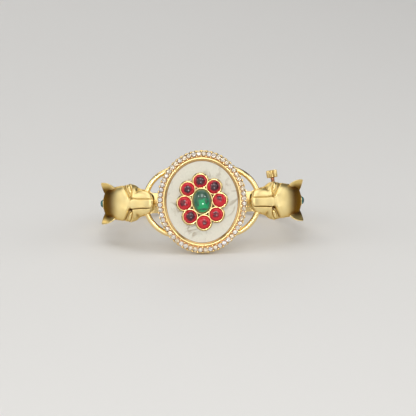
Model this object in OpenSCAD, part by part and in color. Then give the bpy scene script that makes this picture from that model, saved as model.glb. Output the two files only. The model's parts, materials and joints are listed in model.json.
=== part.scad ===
// Kada bangle with two big-cat heads that hold a stone-set oval medallion.
// It is drawn upright on its own axis, front towards -Y, then laid on its side
// as it rests on a table: on the medallion's lower rim and on the back of the hoop.

/* [Hoop] */
// Half of the hoop's outer width, side to side
hoop_half_w = 32.6; // [31:0.1:34]
// Half of the hoop's outer depth, front to back
hoop_half_d = 28; // [27:0.1:29]
// Radius of the hoop's two side bends
side_r = 23.5; // [22.5:0.1:24.5]
// Width of the band, along the bangle's axis
band_w = 7.2; // [6.4:0.1:7.6]
// Thickness of the band at its crown
band_t = 2.4; // [2.2:0.1:2.6]
// Height of the band's domed outer face
band_dome = 1.1; // [0.8:0.1:1.4]

/* [Medallion] */
// Half width of the medallion over its beaded edge
ring_a = 14.85; // [14.7:0.05:15]
// Half height of the medallion over its beaded edge
ring_b = 17.05; // [16.9:0.05:17.2]
// Half width of the mother-of-pearl oval
pearl_a = 11.7; // [11.6:0.05:11.8]
// Half height of the mother-of-pearl oval
pearl_b = 13.4; // [13.3:0.05:13.5]
// Width of the polished rim round the mother-of-pearl
rim_w = 1.15; // [1:0.05:1.2]
// Distance of the medallion's back plate from the bangle's axis
plate_back = 25.8; // [25.6:0.1:26.4]
// Number of white stones in the ring
zircon_count = 56; // [52:1:56]
// Diameter of a white stone
zircon_d = 1.5; // [1.35:0.05:1.5]

/* [Flower] */
// Half width of the ellipse on which the red stones sit
petal_a = 5.77; // [5.75:0.01:5.85]
// Half height of the ellipse on which the red stones sit
petal_b = 6.77; // [6.75:0.01:6.85]
// Turn of the flower, anticlockwise from the front
flower_turn = 4; // [0:1:8]
// Radius of a red stone
ruby_r = 2.15; // [2:0.05:2.15]
// Half width of the green stone
emerald_a = 3.1; // [2.9:0.05:3.15]
// Half height of the green stone
emerald_b = 4.05; // [3.8:0.05:4.05]

/* [Loops] */
// Radius of the wire of the two side loops
wire_r = 0.9; // [0.7:0.05:0.95]
// Radius of a loop, to the middle of its wire
loop_r = 10.95; // [10.9:0.05:11]
// Distance of a loop's centre from the medallion's centre
loop_x = 7.8; // [7.75:0.05:7.85]

/* [Screw] */
// Distance of the screw from the bangle's middle plane
screw_x = 24.7; // [24.4:0.1:25]
// Radius of the screw's shaft
screw_r = 0.6; // [0.5:0.05:0.7]
// Radius of the knurled knob
knob_r = 1.8; // [1.7:0.02:1.9]
// Height of the knurled knob
knob_h = 2.5; // [2.2:0.1:2.8]
// Lean of the screw towards the medallion
screw_lean = 8; // [4:1:9]

/* [Hinge] */
// Angle of the hinge behind the left side stone
hinge_psi = -20; // [-24:1:-18]
// Radius of the hinge's barrel
barrel_r = 1.5; // [1.3:0.1:1.6]
// Radius of the hinge's pin
pin_r = 0.6; // [0.5:0.05:0.7]

/* [Hidden] */
$fn = 48;

// Gaps and small steps
fit = 0.05;
free = 0.15;
bite = 0.15;
over = 1;

// Oval of four arcs: side bends round (side_c, 0), front and back bends round (0, flat_c)
side_c = hoop_half_w - side_r;
flat_c = (side_c * side_c - pow(hoop_half_d - side_r, 2)) / (2 * (hoop_half_d - side_r));
flat_r = hoop_half_d + flat_c;
switch_psi = atan2(flat_c, side_c);

// Medallion: heights are distances from the bangle's axis
plate_t = 1.2;
plate_inset = 0.5;
plate_front = plate_back + plate_t;
wall_lap = 0.4;
wall_h = 1.2;
wall_back = plate_front - wall_lap;
wall_front = plate_front + wall_h;
pearl_t = 1.1;
pearl_top = plate_front + pearl_t;
rim_h = 0.7;
rim_front = pearl_top + rim_h;
rim_a = pearl_a + 0.1;
rim_b = pearl_b + 0.1;
bead_a = (rim_a + rim_w + ring_a) / 2;
bead_b = (rim_b + rim_w + ring_b) / 2;
scallop = 0.25;
scallop_steps = 6;
oval_sides = 96;
wire_sides = 32;

// White stones, cut with a table, sixteen crown facets and eight pavilion facets
cut_sides = 8;
zircon_r = zircon_d / 2;
zircon_table_r = 0.58 * zircon_r;
zircon_crown = 0.32;
zircon_pavilion = 0.68;
zircon_edge = 0.04;
zircon_h = 1.35;
zircon_z = plate_front + zircon_h;
seat_gap = 0.03;
seat_r = zircon_r + seat_gap;
seat_sides = 24;

// Flower: cups with turned-up walls
cup_wall = 0.35;
cup_gap = 0.08;
cup_floor = 0.5;
cup_h = 1.5;
diagonal_turn = 42;
petal_turns = [90, diagonal_turn, 0, -diagonal_turn, -90, diagonal_turn - 180, 180,
    180 - diagonal_turn];
ruby_base = pearl_top + cup_floor + fit;
ruby_h = 1.9;
ruby_dome_r = 2.9;
stone_sides = 72;
emerald_y = 0.2;
emerald_edge = 0.9;
emerald_h = 2.4;
emerald_sides = 40;
emerald_rises = [0, 12, 26, 40, 54, 68, 80];

// Loops: their wire is soldered under the back plate and held in the mouths
wire_z = plate_back + bite - wire_r;

// Head: main cross sections from the nose to the neck, with softer ones between them.
// psi is the direction that the section faces, half_w its half width,
// crown and floor its outer and inner height over the hoop's outer curve.
HEAD_PSI = 0;
HEAD_HALF_W = 1;
HEAD_CROWN = 2;
HEAD_FLOOR = 3;
head_rows = [
    [65.0, 0.9, 3.0, 2.2],
    [64.6, 1.8, 3.5, 1.2],
    [63.75, 2.6, 3.8, 0.2],
    [62.2, 3.5, 4.0, -0.8],
    [59.4, 4.15, 4.1, -1.7],
    [57.0, 4.5, 4.15, -2.3],
    [55.0, 4.8, 4.3, -2.4],
    [52.8, 5.4, 4.5, -2.4],
    [51.0, 5.95, 4.7, -2.4],
    [48.5, 6.15, 4.8, -2.4],
    [44.0, 5.8, 4.8, -2.4],
    [39.0, 5.55, 4.6, -2.4],
    [34.0, 5.3, 4.2, -2.4],
    [29.0, 5.05, 3.7, -2.4],
    [24.0, 4.7, 3.0, -2.4],
    [18.0, 4.2, 2.0, -2.4],
    [12.0, 3.9, 1.1, -2.4]];
face_psi = 40;
face_step = 1;
neck_step = 2.5;
head_points = 40;
head_square = 0.8;
neck_psi = head_rows[len(head_rows) - 1][HEAD_PSI];

// Soft hills and hollows of the face, the same above and below its middle line:
// distance from the bangle's middle plane, place along its axis,
// half length, half width, height
FORM_X = 0;
FORM_Z = 1;
FORM_L = 2;
FORM_W = 3;
FORM_H = 4;
whisker_pad = [19.8, 3.3, 1.9, 1.4, 0.45];
pad_dimple = [21.9, 4.9, 0.8, 0.8, -0.5];
eye_corner = [23.9, 2.3, 0.7, 0.8, -0.6];
eyeball = [24.4, 4.2, 0.6, 1.2, 0.35];
cheekbone = [23.7, 5.6, 1.2, 1.1, 0.35];
brow_crease = [25.4, 4.6, 0.5, 2, -0.6];
brow = [27.6, 4.4, 1.9, 1.8, 0.5];
ear_hollow = [30.3, 4.6, 1, 1, -0.35];
face_forms = [whisker_pad, pad_dimple, eye_corner, eyeball, cheekbone, brow_crease, brow,
    ear_hollow];
// Flat bridge of the nose, raised between its two grooves
bridge_from = 16.7;
bridge_to = 24;
bridge_half_w = 1.55;
bridge_h = 0.25;

// Ears: each runs from two places in the head's side to a round tip swept back.
// psi, height over the outer curve, place along the bangle's axis, radius
EAR_PSI = 0;
EAR_HEIGHT = 1;
EAR_Z = 2;
EAR_R = 3;
ear_rows = [
    [43.0, 2.6, 4.7, 0.9],
    [30.0, 2.4, 4.3, 0.9],
    [36.0, 4.2, 6.05, 0.55],
    [30.6, 4.9, 6.3, 0.65]];
ear_sides = 14;

// Mouth slot that holds the wire
mouth_x = loop_x + loop_r + wire_r + 0.1;
mouth_free = 0.1;
mouth_reach = 20;

// Tongues that enter the heads
tongue_psi = 49;
tongue_half_w = 2.2;
tongue_out = 0.35;
tongue_in = 0.15;
tongue_end_gap = 0.4;
tongue_root_turn = 1.05;

// Side stones in their round cups
side_cup_r = 1.8;
side_cup_back = 0.8;
side_cup_h = 1.35;
side_cup_floor = 0.3;
side_stone_r = 1.4;
side_stone_h = 1.9;
side_stone_dome_r = 1.6;

// Screw: its axis crosses the middle of the tongue
screw_psi = acos(screw_x / (flat_r - band_t / 2));
screw_y = flat_c - (flat_r - band_t / 2) * sin(screw_psi);
screw_tip_gap = 0.25;
screw_tip_z = tongue_half_w + screw_tip_gap;
knob_z = 7.8;
knurl_count = 20;
knurl_depth = 0.2;
bore_reach = 8;

// Hinge
hinge_r = side_r - 0.2;
hinge_x = -side_c - hinge_r * cos(hinge_psi);
hinge_y = -hinge_r * sin(hinge_psi);
knuckle_h = band_w / 3;
end_gap_turn = 0.35;

// Steps of what runs along the hoop, and the radius of the band's domed face
run_turn = 3.6;
dome_steps = 8;
dome_r = (band_w * band_w / 4 + band_dome * band_dome) / (2 * band_dome);

// Lying pose: the medallion's lowest bead and the hoop's back edge touch the table
back_edge = hoop_half_d - band_dome;
tilt = atan2(ring_b - band_w / 2, wall_back + back_edge);
lift = ring_b * cos(tilt) - wall_back * sin(tilt);
front_y = -(zircon_z + zircon_crown) * cos(tilt) - (bead_b + zircon_table_r) * sin(tilt);
back_y = (hoop_half_d - dome_r) * cos(tilt) + dome_r;
shift_y = -(front_y + back_y) / 2;

// Places on the hoop's outer curve, raised by height: psi is the direction faced,
// 0 to the right, 90 to the front, -90 to the back
function on_flat(psi) = abs(sin(psi)) > sin(switch_psi);
function oval_place(psi, height) =
    let (centre = on_flat(psi) ? [0, sign(sin(psi)) * flat_c] : [sign(cos(psi)) * side_c, 0],
        radius = on_flat(psi) ? flat_r : side_r)
    centre + (radius + height) * [cos(psi), -sin(psi)];

// Points and lengths on an ellipse
function ellipse_point(a, b, turn) = [a * cos(turn), b * sin(turn)];
function ellipse(a, b, steps) = [for (i = [0 : steps - 1]) ellipse_point(a, b, 360 * i / steps)];
function ellipse_normal(a, b, turn) =
    let (n = [cos(turn) / a, sin(turn) / b]) n / norm(n);
run_steps = 720;
function run_step(i) = norm(ellipse_point(bead_a, bead_b, 360 * (i + 1) / run_steps)
    - ellipse_point(bead_a, bead_b, 360 * i / run_steps));
bead_run = [for (i = 0, s = 0; i <= run_steps; s = s + run_step(i), i = i + 1)
    [s, 360 * i / run_steps]];
bead_length = bead_run[run_steps][0];
function bead_turn(share) = lookup(bead_length * share, bead_run);

// Outline of the beaded edge: crests at the prongs, dips at the stones
function edge_point(k) =
    let (turn = bead_turn(k / (zircon_count * scallop_steps)),
        dip = scallop * (1 - cos(360 * k / scallop_steps)) / 2)
    ellipse_point(ring_a, ring_b, turn) - dip * ellipse_normal(ring_a, ring_b, turn);

// Middles of the white stones, evenly spaced along the beaded edge
function bead_place(i) = ellipse_point(bead_a, bead_b, bead_turn((i + 0.5) / zircon_count));

// Sections of the head: close together over the face, wider apart at the neck
function section_step(psi) = psi > face_psi ? face_step : neck_step;
head_sections = concat(
    [for (j = [0 : len(head_rows) - 2])
        let (from = head_rows[j][HEAD_PSI],
            to = head_rows[j + 1][HEAD_PSI],
            parts = ceil((from - to) / section_step(from)))
        for (i = [0 : parts - 1]) from + (to - from) * i / parts],
    [neck_psi]);
function head_size(psi, column) = lookup(psi, [for (row = head_rows) [row[HEAD_PSI], row[column]]]);

// Height of the face's forms at a place in the front view
function form_h(form, x, z) = form[FORM_H]
    * exp(-pow((x - form[FORM_X]) / form[FORM_L], 2) - pow((z - form[FORM_Z]) / form[FORM_W], 2));
function bridge_height(x, z) =
    z < bridge_half_w && x > bridge_from && x < bridge_to ? bridge_h : 0;
function face_height(x, z) = bridge_height(x, z)
    + [for (form = face_forms) form_h(form, x, z)] * [for (form = face_forms) 1];

// A section is a rounded box, domed above and flatter below; the face's forms
// move its outer points square to its surface
function power_of(value, power) = sign(value) * pow(abs(value), power);
function head_point(psi, k) =
    let (turn = 360 * k / head_points,
        crown = head_size(psi, HEAD_CROWN),
        floor_h = head_size(psi, HEAD_FLOOR),
        height = (crown + floor_h) / 2 + (crown - floor_h) / 2 * power_of(sin(turn), head_square),
        z = head_size(psi, HEAD_HALF_W) * power_of(cos(turn), head_square),
        raise = face_height(oval_place(psi, height)[0], abs(z)) * max(0, min(1, 2 * sin(turn))),
        place = oval_place(psi, height + raise * sin(turn)))
    [place[0], place[1], z + raise * cos(turn)];

// Faces of a stack of rings, closed at both ends
function loft_faces(levels, sides) = concat(
    [[for (k = [0 : sides - 1]) k]],
    [for (j = [0 : levels - 2], k = [0 : sides - 1])
        [j * sides + k, (j + 1) * sides + k,
            (j + 1) * sides + (k + 1) % sides, j * sides + (k + 1) % sides]],
    [[for (k = [0 : sides - 1]) (levels - 1) * sides + sides - 1 - k]]);

// Profiles that run along the hoop: rows of height over its outer curve and place
// along the bangle's axis; the band is flat inside and domed outside
function box_profile(low, high, half_w) =
    [[high, half_w], [high, -half_w], [low, -half_w], [low, half_w]];
band_profile = concat(
    [for (j = [0 : dome_steps])
        let (z = band_w * (0.5 - j / dome_steps))
        [sqrt(dome_r * dome_r - z * z) - dome_r, z]],
    [[-band_t, -band_w / 2], [-band_t, band_w / 2]]);
tongue_profile = box_profile(-band_t + tongue_in, -tongue_out, tongue_half_w);
channel_profile = box_profile(-band_t - over, -tongue_out + free, tongue_half_w + free);

// Laid on its side on the table
module lying() {
    translate([0, shift_y, lift])
        rotate([-tilt, 0, 0])
            children();
}

// The medallion is drawn flat, its front up, and stood at the bangle's front
module at_front() {
    rotate([90, 0, 0])
        children();
}

// The flower's own frame: its long axis up
module at_flower() {
    at_front()
        rotate([0, 0, flower_turn])
            children();
}

// Places of the red stones round the flower, at a distance from the bangle's axis
module at_petal(turn, level) {
    translate(concat(ellipse_point(petal_a, petal_b, turn), [level]))
        children();
}

module oval_slab(a, b, from, to) {
    translate([0, 0, from])
        linear_extrude(to - from)
            polygon(ellipse(a, b, oval_sides));
}

// Round holes in which the white stones sit
module stone_seats() {
    for (i = [0 : zircon_count - 1])
        translate(concat(bead_place(i), [plate_front + fit]))
            cylinder(r = seat_r, h = rim_front - plate_front, $fn = seat_sides);
}

module medallion_frame() {
    color("gold")
    lying()
    at_front()
    union() {
        oval_slab(ring_a - plate_inset, ring_b - plate_inset, plate_back, plate_front);
        difference() {
            translate([0, 0, wall_back])
                linear_extrude(wall_front - wall_back)
                    polygon([for (k = [0 : zircon_count * scallop_steps - 1]) edge_point(k)]);
            oval_slab(rim_a, rim_b, plate_front, rim_front + over);
            stone_seats();
        }
        difference() {
            oval_slab(rim_a + rim_w, rim_b + rim_w, plate_front - fit, rim_front);
            oval_slab(rim_a, rim_b, plate_front, rim_front + over);
            stone_seats();
        }
        for (side = [0, 180])
            rotate([0, 0, side])
                translate([loop_x, 0, wire_z])
                    rotate([0, 0, -90])
                        rotate_extrude(angle = 180)
                            translate([loop_r, 0])
                                circle(r = wire_r, $fn = wire_sides);
    }
}

module pearl_plate() {
    color("ivory")
    lying()
    at_front()
    oval_slab(pearl_a, pearl_b, plate_front + fit / 2, pearl_top);
}

module flower_mount() {
    color("gold")
    lying()
    at_flower()
    difference() {
        union() {
            for (turn = petal_turns)
                at_petal(turn, pearl_top + fit / 2)
                    cylinder(r = ruby_r + cup_gap + cup_wall, h = cup_h);
            translate([0, emerald_y, 0])
                oval_slab(emerald_a + cup_gap + cup_wall, emerald_b + cup_gap + cup_wall,
                    pearl_top + fit / 2, pearl_top + cup_h);
        }
        for (turn = petal_turns)
            at_petal(turn, pearl_top + cup_floor)
                cylinder(r = ruby_r + cup_gap, h = cup_h);
        translate([0, emerald_y, 0])
            oval_slab(emerald_a + cup_gap, emerald_b + cup_gap, pearl_top + cup_floor,
                pearl_top + cup_h + over);
    }
}

// Domed stone: a flat base and a round crown
module cabochon(radius, height, crown_r) {
    intersection() {
        cylinder(r = radius, h = height, $fn = stone_sides);
        translate([0, 0, height - crown_r])
            sphere(r = crown_r, $fn = stone_sides);
    }
}

module ruby(i) {
    color("crimson")
    lying()
    at_flower()
    at_petal(petal_turns[i], ruby_base)
        cabochon(ruby_r, ruby_h, ruby_dome_r);
}

module emerald() {
    points = concat(
        [for (p = ellipse(emerald_a, emerald_b, emerald_sides)) [p[0], p[1], 0]],
        [for (rise = emerald_rises,
                p = ellipse(emerald_a * cos(rise), emerald_b * cos(rise), emerald_sides))
            [p[0], p[1], emerald_edge + (emerald_h - emerald_edge) * sin(rise)]]);
    color("seagreen")
    lying()
    at_flower()
    translate([0, emerald_y, ruby_base])
        polyhedron(points, loft_faces(len(emerald_rises) + 1, emerald_sides));
}

module zircon() {
    step = 360 / cut_sides;
    points = concat(
        [for (k = [0 : cut_sides - 1])
            [zircon_table_r * cos(step * (k + 0.5)), zircon_table_r * sin(step * (k + 0.5)),
                zircon_crown]],
        [for (k = [0 : cut_sides - 1])
            [zircon_r * cos(step * k), zircon_r * sin(step * k), zircon_edge]],
        [for (k = [0 : cut_sides - 1])
            [zircon_r * cos(step * k), zircon_r * sin(step * k), -zircon_edge]],
        [[0, 0, -zircon_pavilion]]);
    faces = concat(
        [[for (k = [0 : cut_sides - 1]) cut_sides - 1 - k]],
        [for (k = [0 : cut_sides - 1]) [k, cut_sides + (k + 1) % cut_sides, cut_sides + k]],
        [for (k = [0 : cut_sides - 1])
            [k, (k + 1) % cut_sides, cut_sides + (k + 1) % cut_sides]],
        [for (k = [0 : cut_sides - 1])
            [cut_sides + k, cut_sides + (k + 1) % cut_sides,
                2 * cut_sides + (k + 1) % cut_sides, 2 * cut_sides + k]],
        [for (k = [0 : cut_sides - 1])
            [2 * cut_sides + k, 2 * cut_sides + (k + 1) % cut_sides, 3 * cut_sides]]);
    polyhedron(points, faces);
}

module zircon_ring() {
    color("white")
    lying()
    at_front()
    for (i = [0 : zircon_count - 1])
        translate(concat(bead_place(i), [zircon_z]))
            zircon();
}

// Both heads are drawn at the right; the left one is its mirror image
module head_form() {
    points = [for (psi = head_sections, k = [0 : head_points - 1]) head_point(psi, k)];
    difference() {
        union() {
            polyhedron(points, loft_faces(len(head_sections), head_points));
            for (side = [-1, 1])
                hull()
                    for (row = ear_rows)
                        translate(concat(oval_place(row[EAR_PSI], row[EAR_HEIGHT]),
                            [side * row[EAR_Z]]))
                            sphere(r = row[EAR_R], $fn = ear_sides);
        }
        translate([mouth_x - mouth_reach, -wire_z - wire_r - mouth_free, -mouth_reach / 2])
            cube([mouth_reach, 2 * (wire_r + mouth_free), mouth_reach]);
        run_along(tongue_psi + tongue_end_gap, neck_psi - over, channel_profile);
    }
}

// A profile carried along the hoop's outer curve, from one facing down to another
module run_along(from, to, profile) {
    steps = ceil((from - to) / run_turn);
    points = [for (j = [0 : steps], p = profile)
        concat(oval_place(from + (to - from) * j / steps, p[0]), [p[1]])];
    polyhedron(points, loft_faces(steps + 1, len(profile)));
}

// Round cup on the side of the band, facing +X
module side_cup() {
    translate([hoop_half_w - side_cup_back, 0, 0])
        rotate([0, 90, 0])
            cylinder(r = side_cup_r, h = side_cup_back + side_cup_h);
}

module side_seat() {
    translate([hoop_half_w + side_cup_floor, 0, 0])
        rotate([0, 90, 0])
            cylinder(r = side_stone_r + fit, h = side_cup_h);
}

module side_stone() {
    translate([hoop_half_w + side_cup_floor + fit, 0, 0])
        rotate([0, 90, 0])
            cabochon(side_stone_r, side_stone_h, side_stone_dome_r);
}

module left_head() {
    color("goldenrod")
    lying()
    mirror([1, 0, 0])
        head_form();
}

module right_head() {
    color("goldenrod")
    lying()
    difference() {
        head_form();
        screw_line()
            cylinder(r = screw_r + fit, h = bore_reach);
    }
}

// The screw's own frame: its tip at the tongue, its knob up
module screw_line() {
    translate([screw_x, screw_y, 0])
        rotate([0, -screw_lean, 0])
            children();
}

module clasp_screw() {
    knurl = [for (k = [0 : 2 * knurl_count - 1])
        (knob_r - knurl_depth * (k % 2))
            * [cos(180 * k / knurl_count), sin(180 * k / knurl_count)]];
    color("darkgoldenrod")
    lying()
    screw_line()
    union() {
        translate([0, 0, screw_tip_z])
            cylinder(r = screw_r, h = knob_z - screw_tip_z + fit);
        translate([0, 0, knob_z])
            linear_extrude(knob_h)
                polygon(knurl);
    }
}

module barrel(radius, from, to) {
    translate([hinge_x, hinge_y, from])
        cylinder(r = radius, h = to - from);
}

module left_neck() {
    color("gold")
    lying()
    difference() {
        union() {
            difference() {
                mirror([1, 0, 0]) {
                    run_along(neck_psi - end_gap_turn, hinge_psi + end_gap_turn, band_profile);
                    run_along(tongue_psi, neck_psi - tongue_root_turn, tongue_profile);
                    side_cup();
                }
                barrel(barrel_r + free, -knuckle_h / 2 - free / 2, knuckle_h / 2 + free / 2);
                mirror([1, 0, 0])
                    side_seat();
            }
            for (side = [-1, 1])
                barrel(barrel_r, side > 0 ? knuckle_h / 2 + free / 2 : -band_w / 2,
                    side > 0 ? band_w / 2 : -knuckle_h / 2 - free / 2);
        }
        barrel(pin_r + fit, -band_w, band_w);
    }
}

module hinge_pin() {
    color("darkgoldenrod")
    lying()
    barrel(pin_r, -band_w / 2, band_w / 2);
}

module left_side_stone() {
    color("darkslategray")
    lying()
    mirror([1, 0, 0])
        side_stone();
}

module right_side_stone() {
    color("darkslategray")
    lying()
    side_stone();
}

module hoop() {
    color("gold")
    lying()
    difference() {
        union() {
            difference() {
                union() {
                    run_along(neck_psi - end_gap_turn, -180 - hinge_psi + end_gap_turn,
                        band_profile);
                    run_along(tongue_psi, neck_psi - tongue_root_turn, tongue_profile);
                    side_cup();
                }
                side_seat();
                for (side = [-1, 1])
                    barrel(barrel_r + free,
                        side > 0 ? knuckle_h / 2 - free / 2 : -band_w,
                        side > 0 ? band_w : -knuckle_h / 2 + free / 2);
            }
            barrel(barrel_r, -knuckle_h / 2 + free / 2, knuckle_h / 2 - free / 2);
        }
        barrel(pin_r + fit, -band_w, band_w);
    }
}

medallion_frame();
pearl_plate();
flower_mount();
ruby(0);  // ruby_1
ruby(1);  // ruby_2
ruby(2);  // ruby_3
ruby(3);  // ruby_4
ruby(4);  // ruby_5
ruby(5);  // ruby_6
ruby(6);  // ruby_7
ruby(7);  // ruby_8
emerald();
zircon_ring();
left_head();
right_head();
left_neck();
hinge_pin();
left_side_stone();
hoop();
right_side_stone();
clasp_screw();
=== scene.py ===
import json
import math

import bmesh
import bpy
import numpy as np
from mathutils import Matrix, Vector


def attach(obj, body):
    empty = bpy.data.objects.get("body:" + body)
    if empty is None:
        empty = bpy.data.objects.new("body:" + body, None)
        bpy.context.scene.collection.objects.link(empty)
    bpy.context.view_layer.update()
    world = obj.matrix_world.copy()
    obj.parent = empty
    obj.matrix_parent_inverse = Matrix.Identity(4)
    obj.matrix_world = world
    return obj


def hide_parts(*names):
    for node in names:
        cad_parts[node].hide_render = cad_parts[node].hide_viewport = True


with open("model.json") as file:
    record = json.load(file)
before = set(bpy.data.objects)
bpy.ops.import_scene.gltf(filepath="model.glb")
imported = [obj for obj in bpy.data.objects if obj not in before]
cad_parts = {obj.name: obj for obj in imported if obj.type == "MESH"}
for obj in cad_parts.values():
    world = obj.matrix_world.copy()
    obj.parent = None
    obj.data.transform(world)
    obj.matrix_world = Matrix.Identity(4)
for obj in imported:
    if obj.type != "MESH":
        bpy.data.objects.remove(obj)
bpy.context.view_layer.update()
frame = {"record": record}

# The bangle lies on its side, on the medallion's rim and the back of its hoop.
# Its pieces are worked out in millimetres on the bangle's own axis: X to the right,
# Z along the axis, the medallion towards -Y. The wrist's place says how that frame lies.
MM = 0.001
wrist = frame["record"]["mounts"][0]
tilt = math.atan2(wrist["axis"][1], wrist["axis"][2])
standing = Matrix.Translation(wrist["pos_m"]) @ Matrix.Rotation(-tilt, 4, "X")
lying = standing @ Matrix.Scale(MM, 4)

# The camera faces the medallion squarely, as in the photograph: it looks level along
# the bangle's own Y, so it is a tilt's angle above the table. The photograph is 416
# pixels wide, has the medallion a little left of its middle, and leans by a degree.
photo_px = 416
photo_lean = math.radians(1.0)
medallion_px = (202.2, 201.65)
mm_per_px = 0.3287
medallion_front = 28.5
camera_distance = 700
camera_data = bpy.data.cameras.new("camera")
camera_data.lens = camera_data.sensor_width * camera_distance / (photo_px * mm_per_px)
camera_data.clip_start = 0.05
camera = bpy.data.objects.new("camera", camera_data)
bpy.context.scene.collection.objects.link(camera)
aim_x = (photo_px / 2 - medallion_px[0]) * mm_per_px
aim_z = (medallion_px[1] - photo_px / 2) * mm_per_px
eye = Vector((aim_x, -medallion_front - camera_distance, aim_z)) * MM
camera.matrix_world = (standing @ Matrix.Translation(eye) @ Matrix.Rotation(math.pi / 2, 4, "X")
                       @ Matrix.Rotation(-photo_lean, 4, "Z"))
bpy.context.scene.camera = camera
bpy.context.scene.view_settings.view_transform = "Standard"


# Plain studio: a pale matt floor under large oval soft boxes in front, on both sides,
# above and behind. The room behind them is dim, so that polished gold has something dark
# to reflect. A small box in front and three bare lamps light up the cut stones.
def linear(hex_colour):
    """An sRGB colour written in hex, as linear red, green, blue and alpha."""
    parts = [int(hex_colour[i:i + 2], 16) / 255 for i in (1, 3, 5)]
    return [c / 12.92 if c <= 0.04045 else ((c + 0.055) / 1.055) ** 2.4 for c in parts] + [1.0]


def feed(node, inputs):
    """Each of the node's inputs gets a value, or is linked to an output."""
    for name, value in inputs.items():
        if isinstance(value, bpy.types.NodeSocket):
            node.id_data.links.new(value, node.inputs[name])
        else:
            node.inputs[name].default_value = value


def add(tree, kind, inputs, **settings):
    """A new node with its own settings and its inputs fed."""
    node = tree.nodes.new(kind)
    for name, value in settings.items():
        setattr(node, name, value)
    feed(node, inputs)
    return node


def new_material(name):
    """A material, its node tree and its shader."""
    material = bpy.data.materials.new(name)
    material.use_nodes = True
    return material, material.node_tree, material.node_tree.nodes["Principled BSDF"]


def soft_box(name, place, size, power):
    """An oval lamp in metres, aimed at the bangle."""
    lamp_data = bpy.data.lights.new(name, "AREA")
    lamp_data.shape = "ELLIPSE"
    lamp_data.size, lamp_data.size_y = size
    lamp_data.energy = power
    lamp = bpy.data.objects.new(name, lamp_data)
    bpy.context.scene.collection.objects.link(lamp)
    target = standing @ Vector((0, -20 * MM, 0))
    lamp.matrix_world = Matrix.Translation(place) @ (
        (target - Vector(place)).to_track_quat("-Z", "Y").to_matrix().to_4x4())


soft_box("front_box", (-0.08, -1.00, 0.42), (1.50, 1.00), 4.2)
soft_box("window_box", (0.03, -0.65, 0.46), (0.20, 0.20), 0.5)
soft_box("left_box", (-0.92, -0.24, 0.44), (1.00, 1.00), 3.4)
soft_box("right_box", (0.92, -0.24, 0.44), (1.00, 1.00), 3.4)
soft_box("top_box", (-0.05, -0.06, 0.95), (1.50, 1.00), 5.0)
soft_box("back_box", (-0.14, 0.80, 0.45), (0.90, 0.44), 1.5)
for lamp_name, lamp_place in (
        ("left_spark_lamp", (-0.26, -0.62, 0.40)), ("right_spark_lamp", (0.26, -0.62, 0.40)),
        ("low_spark_lamp", (0.05, -0.70, 0.10))):
    soft_box(lamp_name, lamp_place, (0.05, 0.05), 0.22)

world = bpy.data.worlds.new("studio")
bpy.context.scene.world = world
world.use_nodes = True
feed(world.node_tree.nodes["Background"], {"Color": linear("#C9CBD0"), "Strength": 0.16})

floor_half = 1.5
floor_mesh = bpy.data.meshes.new("floor")
floor_mesh.from_pydata(
    [(-floor_half, -floor_half, 0), (floor_half, -floor_half, 0),
     (floor_half, floor_half, 0), (-floor_half, floor_half, 0)], [], [(0, 1, 2, 3)])
table_floor = bpy.data.objects.new("floor", floor_mesh)
bpy.context.scene.collection.objects.link(table_floor)
# Matt paper: pale and without any shine, so that it only carries the shadow
matt_paper, _, paper_shader = new_material("matt_paper")
feed(paper_shader, {"Base Color": linear("#DEDCD8"), "Roughness": 0.8})
floor_mesh.materials.append(matt_paper)


# Medallion: a gold back plate, a polished rim round the mother-of-pearl and a scalloped
# wall outside it for the row of stones. It is cast brass, soldered together, filed,
# polished and plated with gold; its corners, grooves and slopes in shade are painted dark.
# How rough the gold is where the mop has polished it most
polished_gloss = 0.16


def gold_plate(name, light, deep, dark, gloss, grain_mm, grain_h_mm):
    """Gold over brass: its tone drifts, the recess attribute paints it dark as shade, with some
    oxide, and a fine grain is left.
    """
    material, tree, shader = new_material(name)
    place = add(tree, "ShaderNodeTexCoord", {}).outputs["Object"]
    recess = add(tree, "ShaderNodeAttribute", {}, attribute_name="recess").outputs["Fac"]
    polish = add(tree, "ShaderNodeAttribute", {}, attribute_name="polish").outputs["Fac"]
    drift_mm, wear_mm = 3.0, 0.5
    drift, wear, grain = (
        add(tree, "ShaderNodeTexNoise", {
            "Vector": place, "Scale": 1 / (width_mm * MM), "Detail": detail}).outputs["Fac"]
        for width_mm, detail in ((drift_mm, 2.0), (wear_mm, 3.0), (grain_mm, 2.0)))
    tone = add(tree, "ShaderNodeMix", {
        "Factor": drift, 6: linear(light), 7: linear(deep)}, data_type="RGBA")
    # the painted shade and oxide start unevenly, and dull what they cover
    uneven = add(tree, "ShaderNodeMath", {0: wear, 1: 0.16, 2: 0.90}, operation="MULTIPLY_ADD")
    shade_and_oxide = add(tree, "ShaderNodeMath", {
        0: recess, 1: uneven.outputs[0]}, operation="MULTIPLY", use_clamp=True)
    colour = add(tree, "ShaderNodeMix", {
        "Factor": shade_and_oxide.outputs[0], 6: tone.outputs[2], 7: linear(dark)}, data_type="RGBA")
    worn = add(tree, "ShaderNodeMapRange", {"Value": wear, "To Min": gloss[0], "To Max": gloss[1]})
    mopped = add(tree, "ShaderNodeMix", {
        "Factor": polish, 2: worn.outputs[0], 3: polished_gloss}, data_type="FLOAT")
    dulled = add(tree, "ShaderNodeMath", {
        0: shade_and_oxide.outputs[0], 1: 0.08, 2: mopped.outputs[0]}, operation="MULTIPLY_ADD")
    relief = add(tree, "ShaderNodeBump", {
        "Height": grain, "Distance": grain_h_mm * MM, "Strength": 1.0})
    feed(shader, {
        "Base Color": colour.outputs[2], "Metallic": 1.0, "Specular Tint": linear("#F2D08A"),
        "Roughness": dulled.outputs[0], "Normal": relief.outputs["Normal"]})
    return material


# Polished gold plate: a yellow mirror, softened by the fine scratches of the mop.
# its dark orange brown is the colour of the painted shade in corners, grooves and slopes
polished_gold = gold_plate(
    "polished_gold_plate", "#FFE9AE", "#F8D792", "#8C4C16", (0.14, 0.24), 0.25, 0.0015)


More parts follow.
